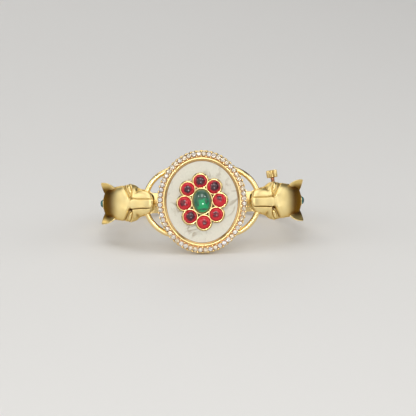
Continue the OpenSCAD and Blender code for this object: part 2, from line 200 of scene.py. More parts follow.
def part(rings, recess=0.0, polish=0.0, closed=False):
    """One form, skinned over a stack of rings: its points, its faces, and how dark and how
    polished each point is. A closed stack comes back to its first ring, others are capped."""
    rings = np.asarray(rings, float)
    rows, columns = rings.shape[:2]
    faces = [(i * columns + k, i * columns + (k + 1) % columns,
              (i + 1) % rows * columns + (k + 1) % columns, (i + 1) % rows * columns + k)
             for i in range(rows if closed else rows - 1) for k in range(columns)]
    if not closed:
        faces.append(tuple(range(columns))[::-1])
        faces.append(tuple(range((rows - 1) * columns, rows * columns)))
    form = {"points": rings.reshape(-1, 3), "faces": faces}
    for word, value in (("recess", recess), ("polish", polish)):
        value = np.asarray(value, float)
        # one value, one for each ring, or one for each point
        by_ring = value[:, None] if value.ndim == 1 else value
        form[word] = np.broadcast_to(by_ring, (rows, columns)).ravel()
    return form


def reworked(mesh, *extras, weld=0.0):
    """The mesh with others added, near points welded, and its faces turned outwards."""
    work = bmesh.new()
    for each in (mesh, *extras):
        work.from_mesh(each)
    if weld:
        bmesh.ops.remove_doubles(work, verts=work.verts, dist=weld)
    bmesh.ops.recalc_face_normals(work, faces=work.faces)
    work.to_mesh(mesh)
    work.free()
    return mesh


def lay(mesh, body, node, name, finish, sharp_deg=40):
    """A mesh in the bangle's millimetres becomes a finished piece where the bangle lies."""
    mesh.transform(lying)
    reworked(mesh, weld=0.0005 * MM)
    mesh.shade_smooth()
    mesh.set_sharp_from_angle(angle=math.radians(sharp_deg))
    mesh.materials.clear()
    mesh.materials.append(finish)
    piece = bpy.data.objects.new(name, mesh)
    bpy.context.scene.collection.objects.link(piece)
    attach(piece, body)
    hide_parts(node)


def form_mesh(name, parts):
    """The mesh of several forms together, with their recess and polish."""
    first = 0
    points, faces = [], []
    for each in parts:
        points.append(each["points"])
        faces += [tuple(first + corner for corner in face) for face in each["faces"]]
        first += len(each["points"])
    mesh = bpy.data.meshes.new(name)
    mesh.from_pydata(np.concatenate(points).tolist(), [], faces)
    for word in ("recess", "polish"):
        values = np.concatenate([each[word] for each in parts]).astype(np.float32)
        mesh.attributes.new(word, "FLOAT", "POINT").data.foreach_set("value", values)
    return mesh


def from_front(points):
    """Medallion points, drawn flat with their front up, stood at the bangle's front."""
    points = np.asarray(points, float)
    return np.stack([points[..., 0], -points[..., 2], points[..., 1]], -1)


# Half sizes of the medallion's ovals and their distances from the bangle's axis
pearl_a, pearl_b = 11.7, 13.4
rim_a, rim_b = pearl_a + 0.1, pearl_b + 0.1
rim_w = 1.15
edge_a, edge_b = 14.85, 17.05
stone_a, stone_b = (rim_a + rim_w + edge_a) / 2, (rim_b + rim_w + edge_b) / 2
plate_back = 25.8
plate_front = plate_back + 1.2
pearl_top = plate_front + 1.1
rim_front = pearl_top + 0.7
stone_count = 56
scallop_depth = 0.25

# Shares of the way round the oval on which the stones sit, so that they keep one spacing
oval_turns = np.linspace(0, 2 * math.pi, 2049)
oval_steps = np.hypot(np.diff(stone_a * np.cos(oval_turns)), np.diff(stone_b * np.sin(oval_turns)))
oval_run = np.concatenate([[0], np.cumsum(oval_steps)])
oval_run /= oval_run[-1]


def oval_ring(a, b, height, turns, dip=0.0):
    """Points on an oval, drawn in from it by dip."""
    normal = np.stack([np.cos(turns) / a, np.sin(turns) / b], -1)
    normal /= np.linalg.norm(normal, axis=-1, keepdims=True)
    flat = np.stack([a * np.cos(turns), b * np.sin(turns)], -1) - np.reshape(dip, (-1, 1)) * normal
    return np.concatenate([flat, np.full((len(turns), 1), height)], -1)


def oval_stack(a, b, rows, turns):
    """Rings round one oval; each row is the step outwards, the height and the recess."""
    rings = from_front([oval_ring(a + out, b + out, height, turns) for out, height, _ in rows])
    return rings, [dark for _, _, dark in rows]


smooth_turns = np.linspace(0, 2 * math.pi, 256, endpoint=False)
# the plate's front, in shade under the rim and the wall, is painted darker
back_plate_rows = [
    [-8.0, plate_back, 0.1], [-1.2, plate_back, 0.1], [-0.75, plate_back + 0.03, 0.0],
    [-0.55, plate_back + 0.15, 0.0], [-0.5, plate_back + 0.4, 0.1],
    [-0.5, plate_front - 0.1, 0.5], [-1.5, plate_front, 0.5], [-8.0, plate_front, 0.5]]
back_plate = part(*oval_stack(edge_a, edge_b, back_plate_rows, smooth_turns))

# The rim leans in over the pearl: a slope painted dark as shade, then a round polished crest
crest_half_w = 0.33
rim_crest = [
    [rim_w - crest_half_w * (1 + math.cos(turn)), rim_front - 0.30 + 0.30 * math.sin(turn), 0.0]
    for turn in np.radians(np.arange(10, 180, 17))]
rim_rows = (
    [[-0.08, pearl_top - 0.6, 1.0], [-0.06, pearl_top + 0.02, 0.8], [0.12, pearl_top + 0.18, 0.4],
     [0.42, pearl_top + 0.30, 0.45]]
    + rim_crest
    + [[rim_w - 0.02, rim_front - 0.45, 0.5], [rim_w, plate_front + 0.6, 1.0],
       [rim_w, plate_front - 0.05, 1.0], [-0.08, plate_front - 0.05, 1.0]])
rim_rings, rim_dark = oval_stack(rim_a, rim_b, rim_rows, smooth_turns)
pearl_rim = part(rim_rings, rim_dark, closed=True)

# The wall's outer edge swells at each prong and dips at each stone
wall_back = plate_front - 0.4
wall_front = plate_front + 1.2
points_per_scallop = 12
scallop_shares = np.linspace(0, 1, stone_count * points_per_scallop, endpoint=False)
scallop_turns = np.interp(scallop_shares, oval_run, oval_turns)
scallop_dip = scallop_depth * (1 - np.cos(2 * math.pi * scallop_shares * stone_count)) / 2


def wall_ring(inset, height):
    """Points round the scalloped outer edge, drawn in from it by inset."""
    return oval_ring(edge_a, edge_b, height, scallop_turns, scallop_dip + inset)


groove_floor = plate_front + 0.75
# the groove between the stones' wall and the rim, and the wall's foot, are painted dark as shade
wall_rows = [
    (wall_ring(0.5, wall_back), 0.2), (wall_ring(0.12, wall_back), 0.2),
    (wall_ring(0.0, wall_back + 0.12), 0.0), (wall_ring(0.0, wall_front - 0.35), 0.0),
    (wall_ring(0.10, wall_front - 0.08), 0.0), (wall_ring(0.28, wall_front), 0.15),
    (wall_ring(0.42, wall_front - 0.12), 0.5),
    (oval_ring(stone_a + 0.45, stone_b + 0.45, groove_floor, scallop_turns), 0.9),
    (oval_ring(rim_a + rim_w - 0.2, rim_b + rim_w - 0.2, groove_floor, scallop_turns), 0.9),
    (oval_ring(rim_a + rim_w - 0.2, rim_b + rim_w - 0.2, wall_back, scallop_turns), 1.0)]
stone_wall = part(
    from_front([ring for ring, _ in wall_rows]), [dark for _, dark in wall_rows], closed=True)
lay(form_mesh("medallion_plate", [back_plate, pearl_rim, stone_wall]), "front",
    "medallion_frame", "medallion_plate", polished_gold)


# Prongs: beads raised with a graver from the wall and the rim, two between each pair of
# stones, pressed down over the stones' edges and left bright.
def new_tree(name, inputs):
    """An empty geometry node tree with named inputs, and what they give."""
    tree = bpy.data.node_groups.new(name, "GeometryNodeTree")
    for label, kind in inputs.items():
        tree.interface.new_socket(label, in_out="INPUT", socket_type="NodeSocket" + kind)
    tree.interface.new_socket("Result", in_out="OUTPUT", socket_type="NodeSocketGeometry")
    return tree, tree.nodes.new("NodeGroupInput").outputs


def end_tree(tree, geometry, finish):
    """Ends a tree: what it has made becomes plain mesh of one material."""
    real = add(tree, "GeometryNodeRealizeInstances", {"Geometry": geometry}).outputs[0]
    done = add(tree, "GeometryNodeSetMaterial", {"Geometry": real, "Material": finish}).outputs[0]
    add(tree, "NodeGroupOutput", {"Result": done})


def row_tree():
    """Geometry nodes that repeat the piece's own mesh evenly along an oval."""
    tree, given = new_tree("oval_row", {
        "Piece": "Geometry", "Half Width": "Float", "Half Height": "Float", "Level": "Float",
        "Count": "Int", "Start": "Float", "Turn Spread": "Float", "Lean Spread": "Float",
        "Seed": "Int", "Finish": "Material"})
    circle = add(tree, "GeometryNodeCurvePrimitiveCircle", {"Resolution": 720, "Radius": 1.0})
    size = add(tree, "ShaderNodeCombineXYZ", {
        "X": given["Half Width"], "Y": given["Half Height"], "Z": 1.0})
    oval = add(tree, "GeometryNodeTransform", {
        "Geometry": circle.outputs["Curve"], "Scale": size.outputs[0]})
    # places halfway between or on the steps of the row, by the share of the way round
    places = add(tree, "GeometryNodePoints", {"Count": given["Count"]})
    index = add(tree, "GeometryNodeInputIndex", {})
    step = add(tree, "ShaderNodeMath", {0: index.outputs[0], 1: given["Start"]}, operation="ADD")
    share = add(tree, "ShaderNodeMath", {0: step.outputs[0], 1: given["Count"]}, operation="DIVIDE")
    sample = add(tree, "GeometryNodeSampleCurve", {
        "Curves": oval.outputs[0], "Factor": share.outputs[0]}, mode="FACTOR")
    lift = add(tree, "ShaderNodeCombineXYZ", {"Z": given["Level"]})
    spot = add(tree, "ShaderNodeVectorMath", {
        0: sample.outputs["Position"], 1: lift.outputs[0]}, operation="ADD")
    spots = add(tree, "GeometryNodeSetPosition", {
        "Geometry": places.outputs[0], "Position": spot.outputs[0]})
    facing = add(tree, "FunctionNodeAlignRotationToVector", {
        "Vector": sample.outputs["Tangent"]}, axis="X", pivot_axis="Z")
    # a setter's hand leaves each piece turned and leaning a little differently
    spread = add(tree, "ShaderNodeCombineXYZ", {
        "X": given["Lean Spread"], "Y": given["Lean Spread"], "Z": given["Turn Spread"]})
    chance = add(tree, "FunctionNodeRandomValue", {
        0: (0, 0, 0), 1: spread.outputs[0], "Seed": given["Seed"]}, data_type="FLOAT_VECTOR")
    middle = add(tree, "ShaderNodeVectorMath", {
        0: spread.outputs[0], 1: (-0.5, -0.5, -0.5)}, operation="MULTIPLY")
    wander = add(tree, "ShaderNodeVectorMath", {
        0: chance.outputs[0], 1: middle.outputs[0]}, operation="ADD")
    twist = add(tree, "FunctionNodeEulerToRotation", {0: wander.outputs[0]})
    turned = add(tree, "FunctionNodeRotateRotation", {
        "Rotation": facing.outputs[0], "Rotate By": twist.outputs[0]}, rotation_space="LOCAL")
    row = add(tree, "GeometryNodeInstanceOnPoints", {
        "Points": spots.outputs[0], "Instance": given["Piece"], "Rotation": turned.outputs[0]})
    tint = add(tree, "FunctionNodeRandomValue", {"Seed": given["Seed"]}, data_type="FLOAT")
    marked = add(tree, "GeometryNodeStoreNamedAttribute", {
        "Geometry": row.outputs[0], "Name": "tint", "Value": tint.outputs[1]},
        data_type="FLOAT", domain="INSTANCE")
    end_tree(tree, marked.outputs[0], given["Finish"])
    return tree


def grown(name, mesh, tree, values):
    """Runs a node tree on a mesh and gives its result as a plain mesh."""
    holder = bpy.data.objects.new(name + "_grower", mesh)
    bpy.context.scene.collection.objects.link(holder)
    modifier = holder.modifiers.new("grow", "NODES")
    modifier.node_group = tree
    for socket in tree.interface.items_tree:
        if socket.name in values:
            modifier[socket.identifier] = values[socket.name]
    graph = bpy.context.evaluated_depsgraph_get()
    result = bpy.data.meshes.new_from_object(holder.evaluated_get(graph), depsgraph=graph)
    holder.modifiers.remove(modifier)
    bpy.data.objects.remove(holder)
    result.name = name
    return result


oval_row = row_tree()
at_front = Matrix.Rotation(math.pi / 2, 4, "X")


def turned_part(profile, sides, recess=0.0, stretch=(1.0, 1.0)):
    """A form turned about Z from rows of radius and height."""
    turns = np.linspace(0, 2 * math.pi, sides, endpoint=False)
    rings = [np.stack([stretch[0] * radius * np.cos(turns), stretch[1] * radius * np.sin(turns),
                       np.full(sides, height)], -1) for radius, height in profile]
    return part(rings, recess)


prong_r = 0.27
prong_top = rim_front - 0.12
prong_h = prong_top - groove_floor
prong_profile = [
    (prong_r * 0.9, 0.0), (prong_r * 0.85, prong_h - 0.30), (prong_r, prong_h - 0.14),
    (prong_r * 0.88, prong_h - 0.04), (prong_r * 0.55, prong_h)]
# each prong's foot is painted dark as shade
prong_dark = [0.8, 0.25, 0.0, 0.0, 0.0]
for row_name, prong_out in (("outer_prongs", 0.78), ("inner_prongs", -0.82)):
    prong = form_mesh(row_name, [turned_part(prong_profile, 8, prong_dark)])
    prongs = grown(row_name, prong, oval_row, {
        "Half Width": stone_a + prong_out, "Half Height": stone_b + prong_out,
        "Level": groove_floor, "Count": stone_count, "Start": 0.0, "Turn Spread": 1.0,
        "Lean Spread": 0.12, "Seed": 3, "Finish": polished_gold})
    prongs.transform(at_front)
    lay(prongs, "front", "medallion_frame", row_name, polished_gold)


# Row of round zircons, brilliant cut: a flat table, sloping crown and pointed pavilion.
# Each sits between its prongs, turned and leaning as the setter left it.
def zircon_cut():
    """Cut white zircon: clear, strongly bending, so each facet flashes or goes dark."""
    material, tree, shader = new_material("cut_white_zircon")
    tint = add(tree, "ShaderNodeAttribute", {}, attribute_name="tint").outputs["Fac"]
    colour = add(tree, "ShaderNodeMix", {
        "Factor": tint, 6: linear("#FFFFFF"), 7: linear("#FFEFCC")}, data_type="RGBA")
    feed(shader, {
        "Base Color": colour.outputs[2], "Roughness": 0.03, "IOR": 1.95,
        "Transmission Weight": 0.75})
    return material


white_zircon = zircon_cut()
stone_r = 0.8
stone_level = plate_front + 1.35
cut_sides = 8
# corners of the table, the star facets and both edges of the girdle: radius as a share of
# the stone's, height, and how far the ring is turned, in sides
cut_rings = [(0.56, 0.32, 0), (0.80, 0.20, 0.5), (1.0, 0.03, 0), (1.0, -0.03, 0)]
cut_turn = 2 * math.pi / cut_sides
cut_points = [
    (share * stone_r * math.cos(cut_turn * (k + turned)),
     share * stone_r * math.sin(cut_turn * (k + turned)), height)
    for share, height, turned in cut_rings for k in range(cut_sides)]
pavilion_h = 0.66
cut_points.append((0, 0, -pavilion_h))
cut_faces = [tuple(range(cut_sides))]
table, star, girdle, under, point = (cut_sides * ring for ring in range(5))
for k in range(cut_sides):
    after = (k + 1) % cut_sides
    cut_faces += [
        (table + k, star + k, table + after), (table + k, girdle + k, star + k),
        (table + after, star + k, girdle + after), (star + k, girdle + k, girdle + after),
        (girdle + k, under + k, under + after, girdle + after), (under + k, point, under + after)]
zircon = bpy.data.meshes.new("zircon")
zircon.from_pydata(cut_points, [], cut_faces)
zircons = grown("zircons", zircon, oval_row, {
    "Half Width": stone_a, "Half Height": stone_b, "Level": stone_level, "Count": stone_count,
    "Start": 0.5, "Turn Spread": 0.8, "Lean Spread": 0.22, "Seed": 11, "Finish": white_zircon})
zircons.transform(at_front)
lay(zircons, "front", "zircon_ring", "zircons", white_zircon, sharp_deg=1)


# Side loops: round wire bent to half circles, polished and soldered under the back plate.
# Each runs out behind the stones and into a head's mouth.
def wire_tree():
    """Geometry nodes that sweep a round wire along an arc."""
    tree, given = new_tree("bent_wire", {
        "Piece": "Geometry", "Bend Radius": "Float", "Wire Radius": "Float", "Sweep": "Float",
        "Finish": "Material"})
    start = add(tree, "ShaderNodeMath", {0: given["Sweep"], 1: -0.5}, operation="MULTIPLY")
    arc = add(tree, "GeometryNodeCurveArc", {
        "Resolution": 97, "Radius": given["Bend Radius"], "Start Angle": start.outputs[0],
        "Sweep Angle": given["Sweep"]}, mode="RADIUS")
    section = add(tree, "GeometryNodeCurvePrimitiveCircle", {
        "Resolution": 28, "Radius": given["Wire Radius"]})
    wire = add(tree, "GeometryNodeCurveToMesh", {
        "Curve": arc.outputs[0], "Profile Curve": section.outputs[0], "Fill Caps": True})
    end_tree(tree, wire.outputs[0], given["Finish"])
    return tree


bent_wire = wire_tree()
wire_r = 0.9
loop_r = 10.95
loop_x = 7.8
wire_level = plate_back + 0.15 - wire_r
for loop_name, side in (("left_loop", -1), ("right_loop", 1)):
    loop = grown(loop_name, bpy.data.meshes.new(loop_name), bent_wire, {
        "Bend Radius": loop_r, "Wire Radius": wire_r, "Sweep": math.pi, "Finish": polished_gold})
    turn = Matrix.Rotation(0 if side > 0 else math.pi, 4, "Z")
    loop.transform(at_front @ Matrix.Translation((side * loop_x, 0, wire_level)) @ turn)
    lay(loop, "front", "medallion_frame", loop_name, polished_gold)


# Mother-of-pearl: a plate sawn from shell, ground flat and polished, set inside the rim.
# Shell grows in thin wavy layers, which show as soft clouds and a few grey-brown veins.
def shell_plate():
    """Polished mother-of-pearl: ivory and glossy, with a faint rose and green play."""
    material, tree, shader = new_material("mother_of_pearl")
    place = add(tree, "ShaderNodeTexCoord", {}).outputs["Object"]
    upright = add(tree, "ShaderNodeMapping", {"Vector": place, "Rotation": (tilt, 0, 0.5)})
    # each cloudy pattern's width, detail, roughness and distortion
    layer_mm, wave_mm, patch_mm, play_mm = 2.4, 9.0, 5.0, 4.0
    layers, waves, patches, play = (
        add(tree, "ShaderNodeTexNoise", {
            "Vector": upright.outputs[0], "Scale": 1 / (width_mm * MM), "Detail": detail,
            "Roughness": rough, "Distortion": bent}).outputs["Fac"]
        for width_mm, detail, rough, bent in (
            (layer_mm, 4.0, 0.6, 1.4), (wave_mm, 4.0, 0.5, 1.2), (patch_mm, 2.0, 0.5, 0.0),
            (play_mm, 1.0, 0.5, 0.0)))
    cloud = add(tree, "ShaderNodeMix", {
        "Factor": layers, 6: linear("#E0DECF"), 7: linear("#CFCBBA")}, data_type="RGBA")
    # a vein is where the waves cross their middle value, and shows in patches only
    offset = add(tree, "ShaderNodeMath", {0: waves, 1: 0.5}, operation="SUBTRACT")
    size = add(tree, "ShaderNodeMath", {0: offset.outputs[0]}, operation="ABSOLUTE")
    vein = add(tree, "ShaderNodeMapRange", {
        "Value": size.outputs[0], "From Max": 0.05, "To Min": 1.0, "To Max": 0.0},
        interpolation_type="SMOOTHSTEP")
    patch = add(tree, "ShaderNodeMapRange", {
        "Value": patches, "From Min": 0.40, "From Max": 0.62, "To Max": 0.70})
    seen = add(tree, "ShaderNodeMath", {
        0: vein.outputs[0], 1: patch.outputs[0]}, operation="MULTIPLY")
    veined = add(tree, "ShaderNodeMix", {
        "Factor": seen.outputs[0], 6: cloud.outputs[2], 7: linear("#948262")}, data_type="RGBA")
    sheen = add(tree, "ShaderNodeMix", {
        "Factor": play, 6: linear("#FFEFEA"), 7: linear("#F0F6EE")}, data_type="RGBA")
    colour = add(tree, "ShaderNodeMix", {
        "Factor": 0.35, 6: veined.outputs[2], 7: sheen.outputs[2]},
        data_type="RGBA", blend_type="MULTIPLY")
    worn = add(tree, "ShaderNodeMapRange", {"Value": layers, "To Min": 0.18, "To Max": 0.36})
    ripple = add(tree, "ShaderNodeBump", {
        "Height": layers, "Distance": 0.03 * MM, "Strength": 0.6})
    feed(shader, {
        "Base Color": colour.outputs[2], "Roughness": worn.outputs[0], "IOR": 1.56,
        "Coat Weight": 0.25, "Coat Roughness": 0.1, "Normal": ripple.outputs["Normal"]})
    return material


bpy.data.objects["pearl_plate"].material_slots[0].material = shell_plate()


# Flower: nine cups of thin strip on a thin foot, soldered side to side, each rubbed over
# its stone. The narrow corners between them and the line round the foot are painted dark as shade.
petal_a, petal_b = 5.77, 6.77
flower_turn = math.radians(4)
diagonal_turn = 42
petal_turns = np.radians([90, diagonal_turn, 0, -diagonal_turn, -90, diagonal_turn - 180, 180,
                          180 - diagonal_turn])
petal_places = np.stack([petal_a * np.cos(petal_turns), petal_b * np.sin(petal_turns)], -1)
ruby_r = 2.15
cup_gap, cup_wall = 0.08, 0.35
cup_floor, cup_h = 0.5, 1.5
cup_foot = cup_wall + 0.30
emerald_a, emerald_b = 3.1, 4.05
emerald_place = (0.0, 0.2)
at_flower = at_front @ Matrix.Rotation(flower_turn, 4, "Z")


def cup(a, b, centre, sides):
    """An open cup on a thin foot, with a flat lip that is rubbed over the stone."""
    # the third value of each row is painted shade: at the foot's edge, where wall meets foot, low
    # on the wall and inside the cup
    rows = [
        (cup_foot, 0.0, 1.0), (cup_foot, 0.12, 0.9), (cup_foot - 0.04, 0.22, 0.1),
        (cup_wall + 0.13, 0.28, 0.0), (cup_wall + 0.08, 0.24, 1.0), (cup_wall, 0.24, 1.0),
        (cup_wall, 0.5, 0.9), (cup_wall, 0.9, 0.4),
        (cup_wall, cup_h - 0.14, 0.05), (cup_wall - 0.05, cup_h - 0.03, 0.0),
        (cup_wall - 0.11, cup_h, 0.0), (0.06, cup_h, 0.0), (-0.03, cup_h - 0.08, 0.0),
        (-0.08, cup_h - 0.25, 0.1), (-0.06, cup_h - 0.5, 0.5), (0.0, cup_floor, 1.0)]
    turns = np.linspace(0, 2 * math.pi, sides, endpoint=False)
    rings = np.array([oval_ring(a + out, b + out, pearl_top + high, turns)
                      for out, high, _ in rows])
    rings[..., 0] += centre[0]
    rings[..., 1] += centre[1]
    return part(rings, [dark for _, _, dark in rows])


cups = [cup(ruby_r + cup_gap, ruby_r + cup_gap, place, 64) for place in petal_places]
cups.append(cup(emerald_a + cup_gap, emerald_b + cup_gap, emerald_place, 96))
# a backing closes the corners round the green stone: its edge lies inside the petals' middles. It
# is painted wholly dark, as a sheet of shade in the corners.
backing_in = 0.6
backing_rows = [(-2.5, 0.02), (-0.15, 0.02), (0.0, 0.1), (-0.15, 0.2), (-2.5, 0.2)]
cups.append(part([
    oval_ring(petal_a - backing_in + out, petal_b - backing_in + out, pearl_top + high,
              smooth_turns)
    for out, high in backing_rows], 1.0))
flower_cups = form_mesh("flower_cups", cups)
flower_cups.transform(at_flower)
# Polished gold plate again, but its painted shade is near black, so that the corners between
# the cups are dark and set the stones off from each other
gold_with_black_painted_shade = gold_plate(
    "polished_gold_black_painted_shade", "#FFE9AE", "#F8D792", "#3A220F", (0.14, 0.24), 0.25, 0.0015)
lay(flower_cups, "front", "flower_mount", "flower_cups", gold_with_black_painted_shade)


# Red stones: round cabochons of ruby-red glass in closed cups. Light comes back bright
# red from the rim, while the middle looks through to the dark bottom of the cup.
def closed_set_stone(name, flank, bright, middle, deep, ior, gloss):
    """Polished coloured glass: its flank, which can carry a painted reflection, its body, and a
    dark heart of painted shade with a soft edge.
    """
    material, tree, shader = new_material(name)
    place = add(tree, "ShaderNodeTexCoord", {}).outputs["Object"]
    depth = add(tree, "ShaderNodeAttribute", {}, attribute_name="recess").outputs["Fac"]
    rim = add(tree, "ShaderNodeAttribute", {}, attribute_name="polish").outputs["Fac"]
    silk_mm = 0.7
    silk = add(tree, "ShaderNodeTexNoise", {
        "Vector": place, "Scale": 1 / (silk_mm * MM), "Detail": 3.0, "Distortion": 1.0})
    # the heart's painted shade gets a ragged edge from noise
    ragged = add(tree, "ShaderNodeMath", {
        0: silk.outputs["Fac"], 1: 1.6, 2: -0.8}, operation="MULTIPLY_ADD")
    heart = add(tree, "ShaderNodeMath", {0: depth, 1: ragged.outputs[0]}, operation="ADD")
    # from the bright body through a darker edge into the heart
    colour = linear(bright)
    for start, end, tone in ((0.2, 0.6, middle), (0.5, 0.95, deep)):
        share = add(tree, "ShaderNodeMapRange", {
            "Value": heart.outputs[0], "From Min": start, "From Max": end},
            interpolation_type="SMOOTHSTEP")
        colour = add(tree, "ShaderNodeMix", {
            "Factor": share.outputs[0], 6: colour, 7: linear(tone)}, data_type="RGBA").outputs[2]
    # where the polish attribute is set, the flank's colour is a painted reflection of the gold cup
    seen = add(tree, "ShaderNodeMix", {
        "Factor": rim, 6: colour, 7: linear(flank)}, data_type="RGBA")
    feed(shader, {"Base Color": seen.outputs[2], "Roughness": gloss, "IOR": ior})
    return material


ruby_glass = closed_set_stone(
    "ruby_red_glass", "#C4222E", "#C81C29", "#84101F", "#360C1C", 1.52, 0.12)
ruby_base = cup_floor + 0.05
ruby_h = 1.9
ruby_girdle = 0.85


def cabochon(radius, foot, girdle, height):
    """A domed stone's outline: a flat bottom, an upright girdle and a rounded dome."""
    return [(0.3 * radius, 0.0), (foot * radius, 0.0), (radius, 0.1)] + [
        (radius * math.cos(rise) ** 0.9, girdle + (height - girdle) * math.sin(rise))
        for rise in np.radians(np.linspace(0, 88, 16))]


# each stone's dark heart: how wide it is, where it lies from the stone's middle, how dark
heart_rows = [
    (0.76, 0.00, 0.04, 1.0), (0.76, 0.12, 0.08, 1.0), (0.50, 0.00, 0.32, 0.75),
    (0.56, -0.08, 0.00, 0.65), (0.42, 0.12, -0.08, 0.75), (0.72, 0.05, 0.06, 1.0),
    (0.62, -0.20, 0.05, 0.70), (0.62, 0.00, -0.04, 1.0)]
for i, (heart_w, heart_x, heart_y, heart_dark) in enumerate(heart_rows):
    dome = turned_part(cabochon(ruby_r, 0.92, ruby_girdle, ruby_h), 72)
    dome_x, dome_y = dome["points"][:, :2].T / ruby_r
    away = np.hypot(dome_x - heart_x, dome_y - heart_y)
    # the dark heart is painted shade, strongest at its middle
    dome["recess"] = heart_dark * np.clip(1.75 - 1.30 * away / heart_w, 0, 1)
    stone = form_mesh(f"ruby_{i + 1}_stone", [dome])
    spot = Vector((*petal_places[i], pearl_top + ruby_base))
    stone.transform(at_flower @ Matrix.Translation(spot))
    lay(stone, "front", f"ruby_{i + 1}", f"ruby_{i + 1}_stone", ruby_glass)


# Green stone: an oval cabochon of emerald-green glass. Its flanks mirror the gold cup as
# an olive band, and the light that falls in from above comes back out below.
emerald_glass = closed_set_stone(
    "emerald_green_glass", "#76824C", "#0E9E5E", "#2A6A4C", "#3A5846", 1.52, 0.08)
emerald_h = 2.4
emerald_edge = 0.9
emerald_dome = turned_part(
    cabochon(1.0, 0.94, emerald_edge, emerald_h), 96, stretch=(emerald_a, emerald_b))
dome_x, dome_y = (emerald_dome["points"][:, :2] / (emerald_a, emerald_b)).T
# the light that has come through gathers low in the stone
lit = 1.15 * np.exp(-(dome_x / 0.66) ** 4 - ((dome_y + 0.31) / 0.50) ** 4)
# shadows in the lit part, and the light edge below them: how dark, and where and how wide
for shade, mid_x, mid_y, half_x, half_y in (
        (0.75, -0.42, -0.22, 0.16, 0.24), (0.65, 0.42, -0.12, 0.15, 0.16),
        (0.90, 0.05, -0.66, 0.42, 0.07), (-0.70, -0.05, -0.84, 0.50, 0.08)):
    lit -= shade * np.exp(-((dome_x - mid_x) / half_x) ** 2 - ((dome_y - mid_y) / half_y) ** 2)
emerald_dome["recess"] = np.clip(0.95 - 0.85 * lit, 0, 1)
emerald_dome["polish"] = np.clip((np.hypot(dome_x, dome_y) - 0.84) / 0.1, 0, 1)
emerald_stone = form_mesh("emerald_stone", [emerald_dome])
spot = Vector((*emerald_place, pearl_top + ruby_base))
emerald_stone.transform(at_flower @ Matrix.Translation(spot))
lay(emerald_stone, "front", "emerald", "emerald_stone", emerald_glass)


# Heads: two big-cat heads, cast in brass from one model, satin brushed on the face and
# polished at the lips. Towards the neck and behind the ears they are painted dark brown: painted
# shade where the surface turns away, with some oxide.
hoop_half_w, hoop_half_d, side_r = 32.6, 28.0, 23.5
side_c = hoop_half_w - side_r
flat_c = (side_c ** 2 - (hoop_half_d - side_r) ** 2) / (2 * (hoop_half_d - side_r))
flat_r = hoop_half_d + flat_c
switch = math.atan2(flat_c, side_c)


def oval_place(facing, height):
    """Places on the hoop's outer curve, raised by height; facing is in degrees."""
    turn = np.radians(np.asarray(facing, float))
    flat = np.abs(np.sin(turn)) > math.sin(switch)
    centre_x = np.where(flat, 0.0, np.sign(np.cos(turn)) * side_c)
    centre_y = np.where(flat, np.sign(np.sin(turn)) * flat_c, 0.0)
    radius = np.where(flat, flat_r, side_r) + height
    return centre_x + radius * np.cos(turn), centre_y - radius * np.sin(turn)


# Main sections from the nose to the neck: where each faces, in degrees round the bangle, its
# half width, and how high its crown and its base stand over the hoop's outer curve
head_rows = np.array([
    [65.0, 0.9, 3.3, 2.0], [64.6, 1.8, 3.7, 1.1], [63.75, 2.6, 3.9, 0.2], [62.2, 3.5, 4.05, -0.8],
    [59.4, 4.05, 4.1, -1.7], [57.0, 4.35, 4.15, -2.3], [55.0, 4.6, 4.3, -2.4],
    [52.8, 5.2, 4.5, -2.4], [51.0, 5.95, 4.7, -2.4], [48.5, 6.15, 4.8, -2.4],
    [44.0, 5.8, 4.8, -2.4], [39.0, 5.55, 4.6, -2.4], [34.0, 5.3, 4.2, -2.4],
    [29.0, 5.05, 3.7, -2.4], [24.0, 4.7, 3.0, -2.4], [18.0, 4.2, 2.0, -2.4],
    [12.0, 3.9, 1.1, -2.4]])
# how round the sections are: 1 would be an oval, and less is boxier
head_square = 0.8


def through_rows(facing, column):
    """A smooth curve through one column of the head's sections."""
    at = head_rows[::-1, 0]
    value = head_rows[::-1, column]
    slope = np.gradient(value, at)
    i = np.clip(np.searchsorted(at, facing) - 1, 0, len(at) - 2)
    step_w = at[i + 1] - at[i]
    t = (facing - at[i]) / step_w
    return ((2 * t ** 3 - 3 * t ** 2 + 1) * value[i] + (t ** 3 - 2 * t ** 2 + t) * step_w * slope[i]
            + (3 * t ** 2 - 2 * t ** 3) * value[i + 1] + (t ** 3 - t ** 2) * step_w * slope[i + 1])


def swell(distance, width):
    """A soft bump: 1 in its middle, and falling to nothing past its width."""
    return np.exp(-(distance / width) ** 2)


def ease(x, low, high):
    """A soft step: 0 up to low and 1 from high on."""
    t = np.clip((x - low) / (high - low), 0, 1)
    return t * t * (3 - 2 * t)


def past_line(x, z, start, end):
    """Distance across a line in the front view, and the share of the way along it."""
    way = np.array(end, float) - start
    length = np.hypot(*way)
    way /= length
    return ((z - start[1]) * way[0] - (x - start[0]) * way[1],
            ((x - start[0]) * way[0] + (z - start[1]) * way[1]) / length)


